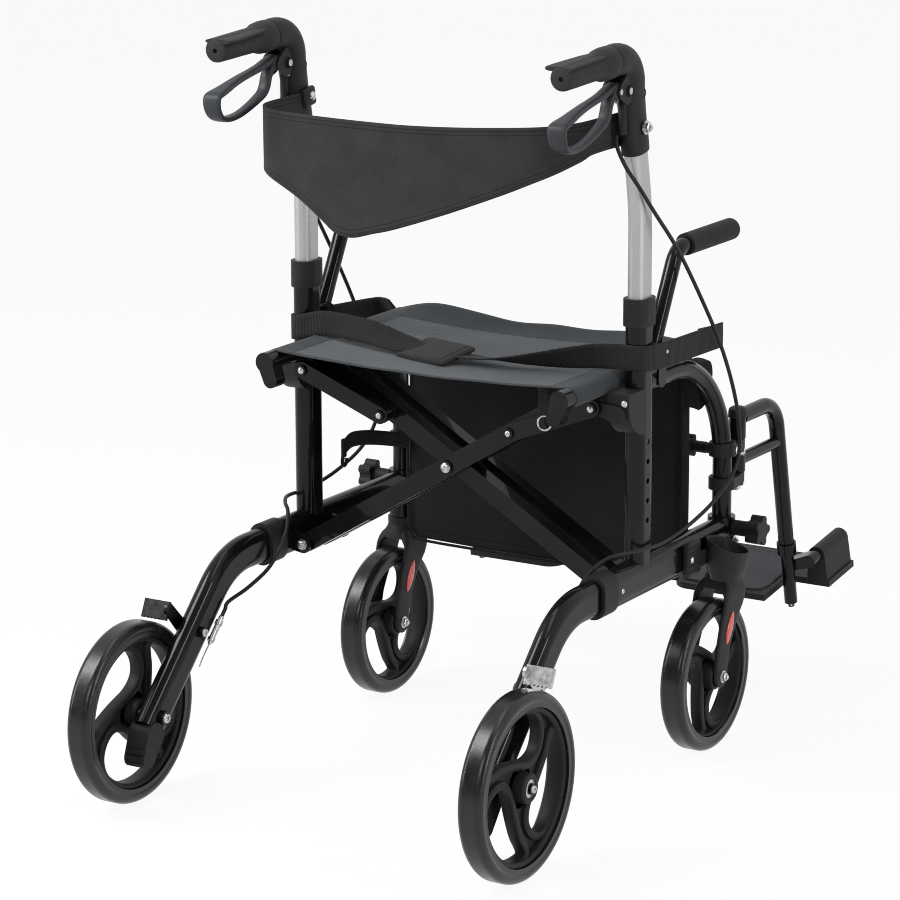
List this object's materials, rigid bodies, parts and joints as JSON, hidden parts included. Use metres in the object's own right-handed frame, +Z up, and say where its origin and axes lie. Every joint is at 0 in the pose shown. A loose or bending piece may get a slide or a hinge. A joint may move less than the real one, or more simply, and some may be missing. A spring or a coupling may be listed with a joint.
{
  "type": "rollator transport chair",
  "caption": "Folding walker chair on wheels with crossed brace, sling seat, backrest strap, loop brakes, sliding handles, flip-up armrests and swing-away footrests.",
  "frame": {"origin": "on the floor, under the middle of the chair's bounding box", "axes": "+X to the pusher's right, +Y forward towards the footplates, +Z up"},
  "size_m": [0.6066, 1.01, 0.9514],
  "materials": {
    "paint": "gloss",
    "silver": "satin",
    "zinc": "zinc plated",
    "plastic": "matte",
    "lever": "satin",
    "rubber": "matte",
    "tyre": "satin",
    "mesh": "woven mesh",
    "cloth": "woven",
    "webbing": "ribbed webbing"
  },
  "bodies": {
    "frame_left": {"rear_post_left": "paint", "lower_rail_left": "paint", "front_arch_left": "paint", "rear_leg_left": "paint", "frame_mouldings_left": "plastic", "footrest_clamps_left": "plastic", "brake_cable_left": "rubber", "bag": "cloth", "belt": "webbing"},
    "frame_right": {"rear_post_right": "paint", "lower_rail_right": "paint", "front_arch_right": "paint", "rear_leg_right": "paint", "frame_mouldings_right": "plastic", "footrest_clamps_right": "plastic", "brake_cable_right": "rubber", "cane_holder": "plastic"},
    "brace_a": {"brace_a": "paint", "seat_tube_right": "paint"},
    "brace_b": {"brace_b": "paint", "seat_tube_left": "paint", "seat": "mesh"},
    "handle_left": {"handle_tube_left": "silver", "handle_housing_left": "plastic", "grip_left": "rubber", "backrest": "cloth"},
    "handle_right": {"handle_tube_right": "silver", "handle_housing_right": "plastic", "grip_right": "rubber"},
    "rear_wheel_left": {"rear_tyre_left": "tyre", "rear_rim_left": "plastic"},
    "fork_left": {"caster_fork_left": "plastic"},
    "front_wheel_left": {"caster_tyre_left": "tyre", "caster_rim_left": "plastic"},
    "lever_left": {"brake_lever_left": "lever"},
    "shoe_left": {"brake_shoe_left": "zinc"},
    "armrest_left": {"armrest_tube_left": "paint", "armrest_foam_left": "rubber"},
    "hanger_left": {"footrest_hanger_left": "paint"},
    "slider_left": {"footrest_tube_left": "paint"},
    "footplate_left": {"footplate_left": "plastic"},
    "link_left": {"fold_link_left": "paint"},
    "rail_knob_left": {"rail_knob_left": "plastic"},
    "clamp_knob_left": {"clamp_knob_left": "plastic"},
    "rear_wheel_right": {"rear_tyre_right": "tyre", "rear_rim_right": "plastic"},
    "fork_right": {"caster_fork_right": "plastic"},
    "front_wheel_right": {"caster_tyre_right": "tyre", "caster_rim_right": "plastic"},
    "lever_right": {"brake_lever_right": "lever"},
    "shoe_right": {"brake_shoe_right": "zinc"},
    "armrest_right": {"armrest_tube_right": "paint", "armrest_foam_right": "rubber"},
    "hanger_right": {"footrest_hanger_right": "paint"},
    "slider_right": {"footrest_tube_right": "paint"},
    "footplate_right": {"footplate_right": "plastic"},
    "link_right": {"fold_link_right": "paint"},
    "rail_knob_right": {"rail_knob_right": "plastic"},
    "clamp_knob_right": {"clamp_knob_right": "plastic"}
  },
  "joints": [
    {"name": "fold", "type": "hinge", "parent": "frame_left", "child": "brace_a", "pos_m": [-0.214, -0.03348, 0.27], "axis": [0, -1, 0], "range_deg": [0, 40], "deforming": ["seat", "backrest", "bag", "belt"]},
    {"name": "brace_cross", "type": "hinge", "parent": "brace_a", "child": "brace_b", "pos_m": [0, -0.03348, 0.3987], "axis": [0, 1, 0], "range_deg": [0, 81]},
    {"name": "frame_right_pivot", "type": "hinge", "parent": "brace_b", "child": "frame_right", "pos_m": [0.214, -0.03348, 0.27], "axis": [0, -1, 0], "range_deg": [0, 41]},
    {"name": "link_left_pivot", "type": "hinge", "parent": "frame_left", "child": "link_left", "pos_m": [-0.211, -0.03348, 0.501], "axis": [0, -1, 0], "range_deg": [0, 92]},
    {"name": "rear_wheel_left_spin", "type": "hinge", "parent": "frame_left", "child": "rear_wheel_left", "pos_m": [-0.2784, -0.39004, 0.115], "axis": [1, 0, 0], "continuous": true},
    {"name": "caster_left_swivel", "type": "hinge", "parent": "frame_left", "child": "fork_left", "pos_m": [-0.243, 0.19652, 0.25], "axis": [0, 0, 1], "continuous": true},
    {"name": "front_wheel_left_spin", "type": "hinge", "parent": "fork_left", "child": "front_wheel_left", "pos_m": [-0.243, 0.15652, 0.1], "axis": [1, 0, 0], "continuous": true},
    {"name": "lever_left_squeeze", "type": "hinge", "parent": "handle_left", "child": "lever_left", "pos_m": [-0.243, -0.1054, 0.8939], "axis": [-1, 0, 0], "range_deg": [0, 10], "stiffness_Nm_per_rad": 1.5, "springref_deg": -20.05},
    {"name": "shoe_left_press", "type": "hinge", "parent": "frame_left", "child": "shoe_left", "pos_m": [-0.258, -0.30236, 0.20268], "axis": [1, 0, 0], "range_deg": [0, 4.5]},
    {"name": "armrest_left_flip", "type": "hinge", "parent": "frame_left", "child": "armrest_left", "pos_m": [-0.243, 0.00052, 0.56], "axis": [1, 0, 0], "range_deg": [0, 25]},
    {"name": "footrest_left_swing", "type": "hinge", "parent": "frame_left", "child": "hanger_left", "pos_m": [-0.243, 0.23852, 0.4], "axis": [0, 0, 1], "range_deg": [0, 90]},
    {"name": "footrest_left_length", "type": "slide", "parent": "hanger_left", "child": "slider_left", "axis": [0, 0.2079, -0.9781], "range_m": [0, 0.05], "stiffness_N_per_m": 150, "springref_m": -0.16},
    {"name": "footplate_left_flip", "type": "hinge", "parent": "slider_left", "child": "footplate_left", "pos_m": [-0.273, 0.3484, 0.18957], "axis": [0, -0.9903, -0.1392], "range_deg": [0, 76]},
    {"name": "rail_knob_left_turn", "type": "hinge", "parent": "frame_left", "child": "rail_knob_left", "pos_m": [-0.262, 0.19652, 0.29], "axis": [1, 0, 0], "continuous": true},
    {"name": "clamp_knob_left_turn", "type": "hinge", "parent": "frame_left", "child": "clamp_knob_left", "pos_m": [-0.219, 0.19652, 0.391], "axis": [1, 0, 0], "continuous": true},
    {"name": "link_right_pivot", "type": "hinge", "parent": "frame_right", "child": "link_right", "pos_m": [0.211, -0.03348, 0.501], "axis": [0, 1, 0], "range_deg": [0, 92]},
    {"name": "rear_wheel_right_spin", "type": "hinge", "parent": "frame_right", "child": "rear_wheel_right", "pos_m": [0.2784, -0.39004, 0.115], "axis": [1, 0, 0], "continuous": true},
    {"name": "caster_right_swivel", "type": "hinge", "parent": "frame_right", "child": "fork_right", "pos_m": [0.243, 0.19652, 0.25], "axis": [0, 0, 1], "continuous": true},
    {"name": "front_wheel_right_spin", "type": "hinge", "parent": "fork_right", "child": "front_wheel_right", "pos_m": [0.243, 0.15652, 0.1], "axis": [1, 0, 0], "continuous": true},
    {"name": "lever_right_squeeze", "type": "hinge", "parent": "handle_right", "child": "lever_right", "pos_m": [0.243, -0.1054, 0.8939], "axis": [-1, 0, 0], "range_deg": [0, 10], "stiffness_Nm_per_rad": 1.5, "springref_deg": -20.05},
    {"name": "shoe_right_press", "type": "hinge", "parent": "frame_right", "child": "shoe_right", "pos_m": [0.258, -0.30236, 0.20268], "axis": [1, 0, 0], "range_deg": [0, 4.5]},
    {"name": "armrest_right_flip", "type": "hinge", "parent": "frame_right", "child": "armrest_right", "pos_m": [0.243, 0.00052, 0.56], "axis": [1, 0, 0], "range_deg": [0, 25]},
    {"name": "footrest_right_swing", "type": "hinge", "parent": "frame_right", "child": "hanger_right", "pos_m": [0.243, 0.23852, 0.4], "axis": [0, 0, -1], "range_deg": [0, 90]},
    {"name": "footrest_right_length", "type": "slide", "parent": "hanger_right", "child": "slider_right", "axis": [0, 0.2079, -0.9781], "range_m": [0, 0.05], "stiffness_N_per_m": 150, "springref_m": -0.16},
    {"name": "footplate_right_flip", "type": "hinge", "parent": "slider_right", "child": "footplate_right", "pos_m": [0.273, 0.3484, 0.18957], "axis": [0, 0.9903, 0.1392], "range_deg": [0, 76]},
    {"name": "rail_knob_right_turn", "type": "hinge", "parent": "frame_right", "child": "rail_knob_right", "pos_m": [0.262, 0.19652, 0.29], "axis": [1, 0, 0], "continuous": true},
    {"name": "clamp_knob_right_turn", "type": "hinge", "parent": "frame_right", "child": "clamp_knob_right", "pos_m": [0.219, 0.19652, 0.391], "axis": [1, 0, 0], "continuous": true},
    {"name": "handle_height", "type": "slide", "parent": "frame_left", "child": "handle_left", "axis": [0, 0, 1], "range_m": [-0.075, 0.075], "deforming": ["brake_cable_left", "brake_cable_right"]},
    {"name": "handle_right_height", "type": "slide", "parent": "frame_right", "child": "handle_right", "axis": [0, 0, 1], "range_m": [-0.076, 0.076]}
  ],
  "couplings": [
    {"joint": "brace_cross", "follows": "fold", "ratio": 2},
    {"joint": "frame_right_pivot", "follows": "fold", "ratio": 1},
    {"joint": "link_left_pivot", "follows": "fold", "ratio": 2.26},
    {"joint": "shoe_left_press", "follows": "lever_left_squeeze", "ratio": 0.3},
    {"joint": "footplate_left_flip", "follows": "fold", "ratio": 1.875},
    {"joint": "link_right_pivot", "follows": "fold", "ratio": 2.26},
    {"joint": "shoe_right_press", "follows": "lever_right_squeeze", "ratio": 0.3},
    {"joint": "footplate_right_flip", "follows": "fold", "ratio": 1.875},
    {"joint": "handle_right_height", "follows": "handle_height", "ratio": 1}
  ]
}
